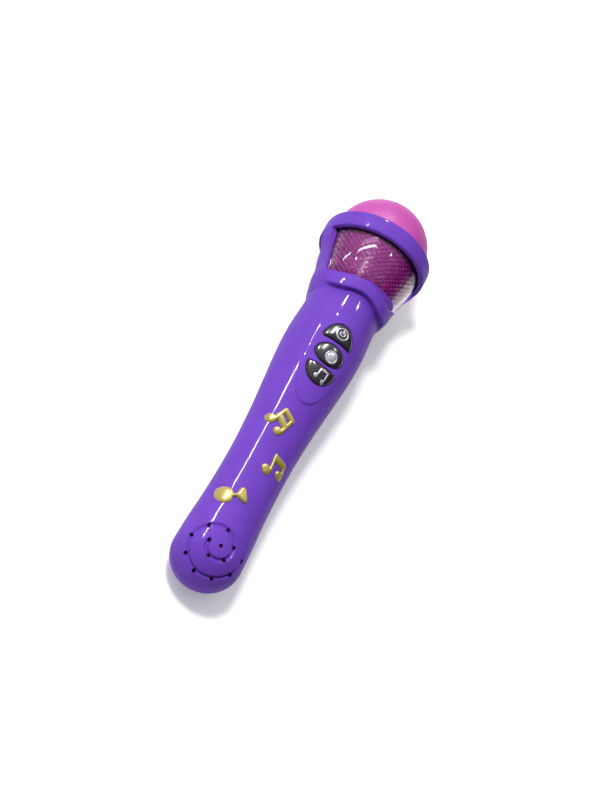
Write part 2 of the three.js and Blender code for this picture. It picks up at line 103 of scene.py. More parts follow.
MERGE_FRONT, MERGE_BACK = 24, 40  # degrees beside a strut where the collar's face fades away
# How far an opening of the cage reaches past the struts' edges, in degrees: everywhere, what the ring's
# end has on top of that, and what the collar's corners take off.
OPENING = {"past": 1.5, "at ring": 5, "at collar": 10}

PAD_TAIL, PAD_HEAD, PAD_RAISE, PAD_HALF = 105.5, 158.0, 0.9, 12.6
SPIRAL = {"x": 16.4, "y": 2.3, "start": 2.9, "growth": 1.12, "first": -1.25}
HOLES = {"count": 13, "spacing": 10.5, "crowding": 2.4}  # crowding sets the middle ones closer together
# The groove that the sound holes lie in, from its first to its last turn in radians.
GROOVE = {"depth": 1.15, "half": 1.35, "side": 1.0, "first": 1.0, "last": 11.8}
KEYS = {
    "button_power": {"kind": "moon", "flat": 142.8, "reach": 11.0, "half": 8.3},
    "button_mode": {"kind": "egg", "flat": 135.0, "reach": 5.8, "half": 8.0},
    "button_music": {"kind": "moon", "flat": 127.6, "reach": -10.2, "half": 8.2},
}
BUMPS_AROUND, BUMP_ROWS = 42, 9  # in the bowl
LATTICE = 8  # mesh steps from bump to bump
FLANGE_LOW, FLANGE_TOP = 12.2, 13.6  # of a button, under the casing
BAY = {"start": 62.0, "end": 126.5, "half": 11.3, "walls": (64.2, 117.6), "wall": 1.5}
BAY_LAP = 0.28  # how far the wall at the bay's end shows behind the casing's edge
DOOR_SCREW_X = 122.6
CASE_SCREWS = {"case_screw_1": (44, 0), "case_screw_2": (164.7, 10.8), "case_screw_3": (164.7, -10.8)}
SCREW_HEAD_LOW = -11.3  # of a case screw

# Raised notes as rounded bars: two ends and a half width. A head is a bar without length.
NOTES = {
    "note_upper": [
        ((90.9, 9.3), (90.3, 9.0), 2.4),
        ((86, 3.7), (85.5, 3.3), 2.15),
        ((91.2, 7.4), (97.4, 4.9), 1.15),
        ((97.3, 4.8), (94, -0.4), 1.5),
        ((93.6, 6.2), (89.7, 1.6), 1.85),
        ((94, -0.4), (86.4, 1.7), 1.15),
    ],
    "note_middle": [
        ((65.5, -0.2), (64.7, -1.0), 2.35),
        ((67.2, -7.9), (66.8, -8.3), 2.2),
        ((65.8, -2.7), (74.4, -1.9), 0.9),
        ((73, -2.9), (72.6, -7.6), 2.0),
        ((73.4, -8.6), (67.6, -9.6), 0.9),
    ],
    "note_lower": [
        ((43.4, 10.5), (41.7, 10.2), 3.8),
        ((43.7, 7.4), (45.7, 4.2), 1.0),
        ((45, 4.8), (48.8, 4.1), 1.5),
        ((45, 4.6), (44.2, 1.2), 1.5),
        ((48.4, 3.4), (44.6, 1.2), 1.2),
        ((46.8, 3.9), (45.4, 2.6), 1.7),
    ],
}
CROWN = 1.5  # height of a cap's middle over the pad
POWER_SIGN = {"x": 147.7, "y": -0.1, "radius": 3.1}
MODE_SIGN = {"x": 133.5, "y": -0.8, "radius": 3.0}
MUSIC_SIGN = [
    ((120.9, 1.8), (120.6, 1.6), 0.95),
    ((119.8, -2.8), (119.4, -3.0), 0.95),
    ((121.2, 1.2), (125, 0.5), 0.42),
    ((120.2, -3.5), (125.1, -3.6), 0.42),
    ((125, 0.5), (125.1, -3.6), 0.6),
]


def mic_matrix():
    """From the microphone's frame in millimetres to the row's frame in metres."""
    press = frame["joints"][0]["axis"]  # the buttons are pressed straight in, along -Z
    low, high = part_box("led_board")
    place = Matrix.Translation((low + high) / 2)
    turn = Matrix.Rotation(-math.asin(press[0]), 4, "Y")
    return place @ turn @ Matrix.Scale(0.001, 4) @ Matrix.Translation((-LED_BOARD_X, 0, 0))


MIC = mic_matrix()


# Curves and surfaces.


def smooth_step(value):
    value = np.clip(value, 0, 1)
    return value * value * (3 - 2 * value)


def spline(stations, per_span=24):
    """A Catmull-Rom curve through the stations."""
    ends = [stations[0], *stations, stations[-1]]
    points = []
    for p0, p1, p2, p3 in zip(ends, ends[1:], ends[2:], ends[3:]):
        p0, p1, p2, p3 = (np.array(p, float) for p in (p0, p1, p2, p3))
        for t in np.arange(per_span) / per_span:
            start, end = (p2 - p0) / 2, (p3 - p1) / 2
            cubic = (2 * t**3 - 3 * t**2 + 1) * p1 + (t**3 - 2 * t**2 + t) * start
            points.append(cubic + (3 * t**2 - 2 * t**3) * p2 + (t**3 - t**2) * end)
    return np.array([*points, stations[-1]], float)


HANDLE_CURVE = spline(HANDLE)
BOWL_CURVE = spline(BOWL)


def handle_radius(x):
    """The outside of the handle at x."""
    x = np.asarray(x, float)
    along = np.clip((TAIL_REACH - x) / TAIL_REACH, 0, 1)
    tail = TAIL_RADIUS * np.sqrt(1 - along**2)
    return np.where(x < TAIL_REACH, tail, np.interp(x, HANDLE_CURVE[:, 0], HANDLE_CURVE[:, 1]))


def bowl_radius(x):
    return np.interp(x, BOWL_CURVE[:, 0], BOWL_CURVE[:, 1])


def bezier(p0, p1, p2, p3, count):
    t = np.linspace(0, 1, count)[:, None]
    p0, p1, p2, p3 = (np.array(p, float) for p in (p0, p1, p2, p3))
    return (1 - t) ** 3 * p0 + 3 * (1 - t) ** 2 * t * p1 + 3 * (1 - t) * t**2 * p2 + t**3 * p3


def pad_outline():
    """The teardrop that holds the buttons, seen from the front."""
    tip = (PAD_TAIL, 0)
    right = bezier((PAD_HEAD, -12), (132, -PAD_HALF), (PAD_TAIL, -9.5), tip, 60)
    left = bezier(tip, (PAD_TAIL, 9.5), (132, PAD_HALF), (PAD_HEAD, 12), 60)
    return np.vstack([right, left[1:]])


def inside(points, outline):
    """Which of the points lie inside a closed outline."""
    x, y = points[:, 0], points[:, 1]
    result = np.zeros(len(points), bool)
    for (x0, y0), (x1, y1) in zip(outline, np.roll(outline, -1, axis=0)):
        if y0 == y1:
            continue
        crosses = (y0 > y) != (y1 > y)
        result ^= crosses & (x < (x1 - x0) * (y - y0) / (y1 - y0) + x0)
    return result


def distance_to(points, line):
    """How far the points are from an open line."""
    best = np.full(len(points), 1e9)
    for start, end in zip(line, line[1:]):
        span = end - start
        t = np.clip((points - start) @ span / (span @ span), 0, 1)
        best = np.minimum(best, np.linalg.norm(points - (start + t[:, None] * span), axis=1))
    return best


def pad_rise(x, y):
    """How far the pad stands out of the handle."""
    points = np.column_stack([np.ravel(x), np.ravel(y)])
    outline = pad_outline()
    deep = distance_to(points, outline) * np.where(inside(points, outline), 1, -1)
    fade = np.clip((PAD_HEAD - points[:, 0]) / (PAD_HEAD - PAD_TAIL), 0, 1) ** 0.8
    rise = PAD_RAISE * fade * smooth_step(deep / 0.9 + 0.4)
    return rise.reshape(np.shape(x))


def front_height(x, y, above=0.0):
    """Height of the handle's front, pad included, over the axis."""
    radius = handle_radius(x) + pad_rise(x, y) + above
    return np.sqrt(np.maximum(radius**2 - np.asarray(y) ** 2, 0))


def spiral_reach(turn):
    return SPIRAL["start"] + SPIRAL["growth"] * turn


def spiral_point(turn):
    reach = spiral_reach(turn)
    return SPIRAL["x"] + reach * math.cos(turn), SPIRAL["y"] + reach * math.sin(turn)


def sound_holes():
    """Centres of the holes, evenly spaced along the spiral and seen from the front."""
    turn, found = SPIRAL["first"], []
    for _ in range(HOLES["count"]):
        found.append(spiral_point(turn))
        turn += HOLES["spacing"] / (spiral_reach(turn) + HOLES["crowding"])
    return [(x, y) for x, y in found if x > WALL]


# Meshes.


def added(name, data):
    """A new object in the scene, made of this data."""
    thing = bpy.data.objects.new(name, data)
    bpy.context.scene.collection.objects.link(thing)
    return thing


def mesh_object(name, vertices, faces, smooth_angle=40):
    """An object from points in the microphone's frame, its shading smooth across blunt edges."""
    mesh = bpy.data.meshes.new(name)
    mesh.from_pydata([MIC @ Vector(v) for v in vertices], [], faces)
    work = bmesh.new()
    work.from_mesh(mesh)
    bmesh.ops.remove_doubles(work, verts=work.verts, dist=2e-6)
    bmesh.ops.recalc_face_normals(work, faces=work.faces)
    work.to_mesh(mesh)
    work.free()
    mesh.shade_smooth()
    mesh.set_sharp_from_angle(angle=math.radians(smooth_angle))
    return added(name, mesh)


def strip_faces(rows, columns, wrap=False, first=0):
    """Quads of a grid of rows * columns points."""
    faces = []
    for i in range(rows - 1):
        for j in range(columns if wrap else columns - 1):
            k = (j + 1) % columns
            a, b = first + i * columns, first + (i + 1) * columns
            faces.append((a + j, a + k, b + k, b + j))
    return faces


def upright(points, x, y, sides=40):
    """Vertices and faces of a [radius, z] outline turned about an upright line, ends on it."""
    angles = np.linspace(0, 2 * math.pi, sides, endpoint=False)
    vertices = [(x + r * math.cos(a), y + r * math.sin(a), z) for r, z in points for a in angles]
    return vertices, strip_faces(len(points), sides, wrap=True)


def prism(outline, low, high):
    """Vertices and faces of an outline raised from low to high."""
    count = len(outline)
    vertices = [(x, y, low) for x, y in outline] + [(x, y, high) for x, y in outline]
    faces = [tuple(range(count))[::-1], tuple(range(count, 2 * count))]
    faces += [(j, (j + 1) % count, count + (j + 1) % count, count + j) for j in range(count)]
    return vertices, faces


def gathered(parts):
    """Several [vertices, faces] pairs as one."""
    vertices, faces = [], []
    for more, theirs in parts:
        faces += [tuple(len(vertices) + i for i in face) for face in theirs]
        vertices += list(more)
    return vertices, faces


def applied(thing):
    """Makes the modifiers of an object part of its mesh."""
    graph = bpy.context.evaluated_depsgraph_get()
    mesh = bpy.data.meshes.new_from_object(thing.evaluated_get(graph))
    thing.modifiers.clear()
    thing.data = mesh


def combine(thing, parts, how="DIFFERENCE", smooth_angle=40):
    """Cuts closed shapes, given as [vertices, faces] pairs, out of an object, or joins them to it."""
    other = mesh_object("other", *gathered(parts))
    modifier = thing.modifiers.new("combine", "BOOLEAN")
    modifier.operation = how
    modifier.solver = "MANIFOLD"
    modifier.object = other
    applied(thing)
    bpy.data.objects.remove(other)
    thing.data.shade_smooth()
    thing.data.set_sharp_from_angle(angle=math.radians(smooth_angle))


def closed_smooth(outline, spread, spacing=0.25):
    """A closed outline with its corners rounded off."""
    loop = np.vstack([outline, outline[:1]])
    steps = np.linalg.norm(np.diff(loop, axis=0), axis=1)
    along = np.concatenate([[0], np.cumsum(steps)])
    count = int(along[-1] / spacing)
    at = np.linspace(0, along[-1], count, endpoint=False)
    points = np.column_stack([np.interp(at, along, loop[:, k]) for k in (0, 1)])
    reach = int(3 * spread / spacing)
    weights = np.exp(-0.5 * (np.arange(-reach, reach + 1) * spacing / spread) ** 2)
    shifted = [np.roll(points, k, axis=0) for k in range(-reach, reach + 1)]
    return sum(w * p for w, p in zip(weights, shifted)) / weights.sum()


def grown(outline, distance):
    """A smooth counter-clockwise outline moved outwards."""
    tangent = np.roll(outline, -1, axis=0) - np.roll(outline, 1, axis=0)
    tangent /= np.linalg.norm(tangent, axis=1)[:, None]
    return outline + distance * np.column_stack([tangent[:, 1], -tangent[:, 0]])


def key_outline(key):
    """A button's outline from the front: an egg, or half an ellipse with its flat to the egg."""
    if key["kind"] == "egg":
        angles = np.linspace(0, 2 * math.pi, 120, endpoint=False)
        middle, reach = key["flat"], key["reach"]
        return np.column_stack([middle + reach * np.cos(angles), key["half"] * np.sin(angles)])
    angles = np.linspace(-math.pi / 2, math.pi / 2, 80)
    x = key["flat"] + key["reach"] * np.cos(angles)
    y = key["half"] * np.sin(angles) * np.sign(key["reach"])
    return closed_smooth(np.column_stack([x, y]), 1.0)


# Casing. Each half is an outline of the wall that changes round the axis, swept through a half turn.


def resampled(points, count):
    points = np.array(points, float)
    steps = np.linalg.norm(np.diff(points, axis=0), axis=1)
    along = np.concatenate([[0], np.cumsum(steps)])
    at = np.linspace(0, along[-1], count)
    return np.column_stack([np.interp(at, along, points[:, k]) for k in (0, 1)])


def handle_stations(fine):
    """Places along the handle's outside, close together where it has small features."""
    tail = TAIL_REACH * (1 - np.cos(np.linspace(0, math.pi / 2, 76 if fine else 26)))
    if not fine:
        return np.concatenate([tail, np.linspace(TAIL_REACH, HANDLE_END, 90)[1:]])
    spans = [(TAIL_REACH, 36, 0.4), (36, 103, 1.5), (103, 160, 0.4), (160, HANDLE_END, 1.0)]
    steps = [np.arange(start, end, step) for start, end, step in spans]
    return np.concatenate([tail[:-1], *steps, [HANDLE_END]])


def corner(x0, r0, x1, r1, bulge=0.3, count=7):
    """A rounded corner from one point of a profile to another; bulge < 0 bends it the other way."""
    start, end = np.array([x0, r0]), np.array([x1, r1])
    across = np.array([-(end - start)[1], (end - start)[0]]) * bulge
    return bezier(start, start + (end - start) / 3 + across, end - (end - start) / 3 + across, end, count)


def handle_flare(x, merge):
    """The handle next to a strut, where it swells into the collar."""
    return handle_radius(x) + 0.7 * merge * smooth_step((np.asarray(x, float) - 164) / 9)


def strut_directions(front):
    """Degrees of the left and the right strut from the front, or from the back."""
    left, right = STRUT["left"], STRUT["right"]
    return (left, right) if front else (180 - left, -180 - right)


def near_strut(degrees, front):
    """How far a direction is from the nearer strut, in degrees."""
    left, right = strut_directions(front)
    return np.abs(degrees - np.where(np.asarray(degrees) > 0, left, right))


def wave(table, degrees):
    curve = spline(table, 8)
    return np.interp(degrees, curve[:, 0], curve[:, 1])


def head_profile(degrees, strut, merge):
    """Collar, window or strut, and ring. strut is 0 in the middle of a window and 1 on a strut.

    The collar has a flat face, which fades away by the struts as merge goes from 0 to 1.
    """
    face = COLLAR["face"] + float(wave(FACE_WAVE, degrees))
    top = COLLAR["end"] - 0.05 + float(wave(END_WAVE, degrees))
    radius = COLLAR["radius"]
    square = np.vstack(
        [
            corner(HANDLE_END, NECK_RADIUS, face - 0.1, 18.5, 0, 4),
            corner(face, 18.7, face, radius - 0.75, 0, 4),
            corner(face, radius - 0.7, face + 0.8, radius, 0.22, 6),
            corner(face + 1.2, radius + 0.03, top - 1.3, radius, 0.02, 8),
            corner(top - 1.2, radius - 0.03, top, radius - 0.8, 0.22, 6),
        ]
    )
    smooth = spline([(HANDLE_END, 19.1), (174.4, 20.3), (177.5, 21.4), (180.4, 22.1), (182.3, 22.2)])
    smooth = resampled(smooth, len(square))
    collar = square * (1 - merge) + smooth * merge
    start, radius = RING["start"], RING["radius"]
    x = np.linspace(top + 0.4, 205.2, 22)
    window = np.vstack(
        [
            np.column_stack([x, bowl_radius(x) + 0.8]),
            corner(start, 27.2, start, radius - 0.9, 0, 4),
            corner(start, radius - 0.8, start + 0.9, radius, 0.22, 6),
        ]
    )
    flush = [(182.6, 22.25), (187, 22.6), (192, 23.8), (196, 25), (199, 26.2), (202.5, 27.7)]
    flush = resampled(spline([*flush, (start + 0.9, radius)]), len(window))
    band = np.vstack(
        [
            corner(start + 1.2, radius + 0.02, 213.4, radius + 0.02, 0.01, 9),
            corner(213.7, radius, 215.0, 27.9, 0.25, 6),
            corner(RING["end"], 27.4, RING["end"] - 0.3, RING["mouth"], 0.1, 5),
        ]
    )
    return np.vstack([collar, window * (1 - strut) + flush * strut, band])


def inner_profile():
    """The inside of the wall, from the ring's mouth back to the tail."""
    x = np.linspace(205.2, 183.0, 12)
    under = np.column_stack([x, bowl_radius(x) + 0.25 - POCKET])
    ring = [(RING["lip"], RING["mouth"]), (RING["lip"], RING["bore"]), (RING["start"], RING["bore"])]
    bore, ledge = COLLAR["bore"], COLLAR["ledge"]
    collar = [(182.5, 21.3), (178.7, 21.1), (178.7, bore), (ledge, bore), (ledge, 16.4)]
    collar.append((HANDLE_END, NECK_RADIUS - WALL))
    x = np.linspace(168, TAIL_REACH, 26)
    handle = np.column_stack([x, handle_radius(x) - WALL])
    angles = np.linspace(math.pi / 2, 0, 14)[1:]
    reach, radius = TAIL_REACH - WALL, TAIL_RADIUS - WALL
    tail = np.column_stack([TAIL_REACH - reach * np.cos(angles), radius * np.sin(angles)])
    return np.vstack([ring, under, collar, handle, tail])


def spiral_depth(points):
    """Depth of the groove that the sound holes lie in, at points of the handle's outside."""
    first, last = GROOVE["first"], GROOVE["last"]
    turns = np.linspace(first, last, 420)
    tree = KDTree(len(turns))
    for i, turn in enumerate(turns):
        x, y = spiral_point(turn)
        height = float(front_height(x, y)) if abs(y) < TAIL_RADIUS and x > 0 else 0.0
        tree.insert((x, y, height), i)
    tree.balance()
    depth = np.zeros(len(points))
    near = (points[:, 0] < 36) & (points[:, 2] > 0)
    for i in np.nonzero(near)[0]:
        _, which, distance = tree.find(points[i])
        ends = min(1.0, which / 26, (len(turns) - 1 - which) / 60)
        share = float(smooth_step((GROOVE["half"] - distance) / GROOVE["side"]))
        depth[i] = GROOVE["depth"] * ends * share
    return depth


def casing_half(name, front):
    """One half of the casing before anything is cut out of it."""
    stations = handle_stations(front)
    inner = inner_profile()
    fine = np.arange(-89, 89.5, 1.0) if front else np.arange(-88, 88.5, 2.0)
    edge = [90, 89.5, 88.9] if front else [90, 89.5, 89.0, 88.5]
    degrees = np.concatenate([np.negative(edge), fine[1:-1], edge[::-1]])
    columns, seam_drop = [], []
    for angle in degrees:
        away = float(near_strut(angle, front))
        strut = float(smooth_step((STRUT["half"] + 9 - away) / 8))
        fade = MERGE_FRONT if front else MERGE_BACK
        merge = float(smooth_step((STRUT["half"] + fade - away) / (fade - 4)))
        handle = np.column_stack([stations, handle_flare(stations, merge)])
        columns.append(np.vstack([handle[:-1], head_profile(angle, strut, merge)]))
        seam_drop.append(SEAM_DROP * max(0.0, 1 - (90 - abs(angle)) / SEAM_WIDTH))
    outer = np.array(columns)
    x, radius = outer[:, :, 0], outer[:, :, 1] - np.array(seam_drop)[:, None]
    radius = np.maximum(radius, 0)
    turn = np.radians(degrees)[:, None] * np.ones_like(x)
    if front:
        handle_part = x < HANDLE_END + 0.01
        radius = radius + np.where(handle_part, pad_rise(x, radius * np.sin(turn)), 0)
        spots = np.stack([x, radius * np.sin(turn), radius * np.cos(turn)], axis=-1)
        deep = spiral_depth(spots.reshape(-1, 3)).reshape(x.shape)
        lean = np.clip((TAIL_REACH - x) / TAIL_REACH, 0, 1) / TAIL_REACH
        upright_part = radius / TAIL_RADIUS**2
        length = np.maximum(np.hypot(lean, upright_part), 1e-6)
        x = x + deep * lean / length
        radius = radius - deep * upright_part / length
    walls = np.dstack([x, radius])
    inner_walls = np.broadcast_to(inner, (len(degrees), *inner.shape))
    whole = np.concatenate([walls, inner_walls], axis=1)
    rows, around = whole.shape[0], whole.shape[1]
    facing = 1 if front else -1
    height = whole[:, :, 1] * np.cos(turn[:, :1])
    # The cut face of each half stands a little off the plane between them.
    height = np.maximum(height, SEAM_GAP) * facing
    points = np.dstack([whole[:, :, 0], whole[:, :, 1] * np.sin(turn[:, :1]), height]).reshape(-1, 3)
    faces = strip_faces(rows, around)
    for i in range(rows - 1):
        a, b = i * around, (i + 1) * around
        faces.append((a + around - 1, a, b, b + around - 1))
    faces.append(tuple(range(around)))
    faces.append(tuple(range((rows - 1) * around, rows * around)))
    return mesh_object(name, points, faces, smooth_angle=50)


def window_cutter(front):
    """The opening in the cage: rounded at its corners by the collar."""
    start, end, corner_reach = COLLAR["end"], RING["start"] - 0.05, 5.5
    bend = start + corner_reach * (1 - np.cos(np.linspace(0, math.pi / 2, 12)))
    stations = np.concatenate([bend, np.linspace(189, end, 10)])
    left, right = strut_directions(front)
    middle = (left + right) / 2
    reach = (left - right) / 2 - STRUT["half"]
    vertices = []
    across = np.linspace(-1, 1, 81)
    for x in stations:
        left_over = 1 - min(1.0, (x - start) / corner_reach)
        half = reach + OPENING["past"] + OPENING["at ring"] * (x - start) / (end - start)
        half -= OPENING["at collar"] * (1 - math.sqrt(1 - left_over**2))
        degrees = middle + half * across
        shift = wave(END_WAVE, degrees) * float(smooth_step((end - x) / (end - start)))
        for radius in (14.0, 34.0):
            for a, push in zip(np.radians(degrees), shift):
                vertices.append((x + push, radius * math.sin(a), radius * math.cos(a)))
    n = len(across)
    ring = [*range(n), *range(2 * n - 1, n - 1, -1)]
    faces = []
    for i in range(len(stations) - 1):
        a, b = 2 * n * i, 2 * n * (i + 1)
        for j, k in zip(ring, ring[1:] + ring[:1]):
            faces.append((a + j, a + k, b + k, b + j))
    faces.append(tuple(ring))
    faces.append(tuple(2 * n * (len(stations) - 1) + i for i in ring[::-1]))
    return vertices, faces


def rod(x, y, low, high, radius, sides=28):
    return upright([(0, low), (radius, low), (radius, high), (0, high)], x, y, sides)


def front_casing():
    shell = casing_half("front_casing", True)
    parts = [window_cutter(True)]
    parts += [prism(grown(key_outline(key), 0.35), 9, 30) for key in KEYS.values()]
    parts += [rod(x, y, 4, 30, 1.05) for x, y in sound_holes()]
    combine(shell, parts)
    return shell


def rounded_box(x0, x1, y0, y1, spread=0.8):
    outline = np.array([(x0, y0), (x1, y0), (x1, y1), (x0, y1)], float)
    return closed_smooth(outline, spread)


def block(x0, x1, y0, y1, z0, z1):
    return prism([(x0, y0), (x1, y0), (x1, y1), (x0, y1)], z0, z1)


def bay_wall(x):
    """An end wall of the battery bay, which follows the inside of the door and of the casing."""
    door, casing = float(handle_radius(x)) - WALL - 0.5, float(handle_radius(x)) - WALL + 0.3
    sides = np.linspace(-math.sqrt(casing**2 - 1), math.sqrt(casing**2 - 1), 61)
    outline = [(y, -0.8) for y in sides[::-1]]
    for y in sides:
        if abs(y) < BAY["half"]:
            outline.append((y, -math.sqrt(door**2 - y**2)))
        else:
            outline.append((y, max(-5.0, -math.sqrt(casing**2 - y**2) - 0.01)))
    vertices, faces = prism(outline, x, x + BAY["wall"])
    return [(z, x, y) for x, y, z in vertices], faces


def screw_well(x, y):
    """A post inside the back that a case screw goes up through, its foot shaped to the casing."""
    angles = np.linspace(0, 2 * math.pi, 40, endpoint=False)
    wall = float(handle_radius(x)) - 1.0
    vertices = []
    for radius, level in ((2.4, None), (3.5, None), (3.5, -4.4), (1.3, -4.4), (1.3, -9.6), (2.4, -9.6)):
        for a in angles:
            px, py = x + radius * math.cos(a), y + radius * math.sin(a)
            vertices.append((px, py, -math.sqrt(wall**2 - py**2) if level is None else level))
    return vertices, closed_rings(6, len(angles))


def back_casing():
    shell = casing_half("back_casing", False)
    start, end, half = BAY["start"], BAY["end"], BAY["half"]
    parts = [mirrored(window_cutter(False))]
    parts.append(prism(rounded_box(start, end, -half, half), -30, -4))
    parts += [rod(x, y, -30, -8, 2.4) for x, y in CASE_SCREWS.values()]
    combine(shell, parts)
    walls = [bay_wall(x) for x in (*BAY["walls"], end - BAY_LAP)]
    walls += [screw_well(x, y) for x, y in CASE_SCREWS.values()]
    walls.append(block(BAY["walls"][1] + 1, end - 0.6, -4, 4, -13.9, -2))
    combine(shell, walls, "UNION")
    combine(shell, [rod(DOOR_SCREW_X, 0, -15, -4, 1.3)])
    settle(shell)
    return shell


def battery_door():
    """A curved panel with rounded edges, grip ridges and a sunk boss for its screw."""
    start, end, half = BAY["start"] + 0.3, BAY["end"] - 0.3, BAY["half"] - 0.3
    outline = rounded_box(start, end, -half, half)
    middle = outline.mean(0)
    shares = np.concatenate([np.linspace(0.02, 0.97, 30), 1 - 0.03 * np.cos(np.linspace(0.2, 1.57, 6))])
    rings = []
    for share in shares:
        spot = middle + share * (outline - middle)
        edge = max(0.0, (share - 0.97) / 0.03)
        drop = 0.5 * (1 - math.sqrt(1 - edge**2))
        rings.append(surface_ring(spot, drop))
    for share in shares[::-1]:
        rings.append(surface_ring(middle + share * (outline - middle), WALL))
    count = len(outline)
    faces = strip_faces(len(rings), count, wrap=True)
    faces += [tuple(range(count)), tuple((len(rings) - 1) * count + i for i in range(count))]
    door = mesh_object("battery_cover", np.vstack(rings), faces)
    combine(door, [rod(DOOR_SCREW_X, 0, -17.6, -14.2, 3.6)], "UNION")
    ridges = [grip_ridge(70 + 2.6 * i, 7.6 - 0.5 * i) for i in range(5)]
    combine(door, ridges, "UNION")
    combine(door, [rod(DOOR_SCREW_X, 0, -30, -16.2, 2.4), rod(DOOR_SCREW_X, 0, -20, -10, 1.3)])
    return door


def surface_ring(spot, inset):
    """Points on the handle's back, sunk by an inset."""
    radius = handle_radius(spot[:, 0]) - inset
    return np.column_stack([spot, -np.sqrt(radius**2 - spot[:, 1] ** 2)])


def grip_ridge(x, reach):
    """A low rounded rib across the door."""
    across = np.linspace(-1, 1, 33)
    vertices = []
    for turn in np.linspace(0, 2 * math.pi, 12, endpoint=False):
        for t in across:
            size = math.sqrt(max(1e-4, 1 - t**6))
            y = reach * t
            radius = float(handle_radius(x)) - 0.1 - 0.55 * size * math.sin(turn)
            z = -math.sqrt(radius**2 - y**2)
            vertices.append((x + 0.7 * size * math.cos(turn), y, z))
    count = len(across)
    faces = strip_faces(12, count)
    faces += [(11 * count + j, 11 * count + j + 1, j + 1, j) for j in range(count - 1)]
    faces += [tuple(i * count for i in range(12)), tuple((i + 1) * count - 1 for i in range(12))]
    return vertices, faces


def pan_screw(name, x, y, low, radius, length):
    """A screw driven upwards, its rounded head marked with a cross."""
    head = [(0, low), (radius * 0.55, low + 0.06), (radius * 0.85, low + 0.3), (radius, low + 0.75)]
    shank = [(radius, low + 1.4), (1, low + 1.4)]
    for i in range(int(length / 0.9)):
        z = low + 1.6 + 0.9 * i
        shank += [(0.85, z), (1.1, z + 0.4)]
    shank += [(0.8, low + length + 1.2), (0, low + length + 1.4)]
    thing = mesh_object(name, *upright([*head, *shank], x, y, 32))
    arms = [block(x - 1.25, x + 1.25, y - 0.28, y + 0.28, low - 1, low + 0.75)]
    arms.append(block(x - 0.28, x + 0.28, y - 1.25, y + 1.25, low - 1, low + 0.75))
    for arm in arms:
        combine(thing, [arm])
    return thing


def mirrored(part):
    """A shape turned over to the back."""
    vertices, faces = part
    return [(x, y, -z) for x, y, z in vertices], [face[::-1] for face in faces]


def settle(thing):
    """Flattens whatever reaches below the resting plane onto it."""
    for vertex in thing.data.vertices:
        vertex.co.z = max(vertex.co.z, 0.0)


# Head.


def lattice(i, j):
    """Height of a lattice of round bumps, whose rows and columns take LATTICE steps each."""
    return 0.5 + 0.5 * math.cos(2 * math.pi * i / LATTICE) * np.cos(2 * math.pi * j / LATTICE)


def bowl_outside(columns):
    """Depth of the pockets for the struts, and height of the low ribs beside them, round the bowl."""
    degrees = np.arange(columns) * 360 / columns
    struts = (STRUT["left"], STRUT["right"] + 360)
    away = np.min([np.abs((degrees - strut + 180) % 360 - 180) for strut in struts], axis=0)
    pocket = POCKET * smooth_step((STRUT["half"] + 1 - away) / 0.8)
    rib = 0.45 * np.exp(-(((away - STRUT["half"] - 2.8) / 1.3) ** 2))
    return pocket, rib


def hoop(x, reach, angles):
    """Points round the axis at x, with a radius for each angle."""
    return [(x, r * math.sin(a), r * math.cos(a)) for r, a in zip(reach, angles)]


def clear_bowl():
    """A bowl that is smooth outside and has a lattice of round bumps inside."""
    foot = [(BOWL_FOOT["start"], 17.2), (BOWL_FOOT["start"] + 0.3, BOWL_FOOT["radius"])]
    step = [(BOWL[0][0] - 0.1, BOWL_FOOT["radius"]), BOWL[0]]
    wall = np.array([p for p in BOWL_CURVE if p[0] > BOWL[0][0] + 0.1])
    columns = BUMPS_AROUND * LATTICE
    angles = np.linspace(0, 2 * math.pi, columns, endpoint=False)
    pocket, rib = bowl_outside(columns)
    vertices = []
    for x, r in np.vstack([foot, step, resampled(wall, 44)]):
        reach = r + rib * smooth_step((x - 180) / 2) - pocket * smooth_step((x - 181.4) / 0.8)
        vertices += hoop(x, reach, angles)
    inner_x = np.linspace(209.8, 184.4, BUMP_ROWS * LATTICE + 1)
    for i, x in enumerate(inner_x):
        edge = min(1.0, 2 * min(i, len(inner_x) - 1 - i) / LATTICE)
        bumps = lattice(i, np.arange(columns))
        reach = float(bowl_radius(x)) - BOWL_WALL + BOWL_BUMP * edge * bumps
        vertices += hoop(x, reach, angles)
    for x, r in ((183.5, 17.2), (BOWL_FOOT["start"] + 0.6, 17.0)):
        vertices += hoop(x, [r] * columns, angles)
    return mesh_object("bowl", vertices, closed_rings(len(vertices) // columns, columns), smooth_angle=60)


def closed_rings(rows, columns):
    """Faces of a closed skin of rings, the last joined to the first."""
    faces = strip_faces(rows, columns, wrap=True)
    last = (rows - 1) * columns
    faces += [(last + j, last + (j + 1) % columns, (j + 1) % columns, j) for j in range(columns)]
    return faces


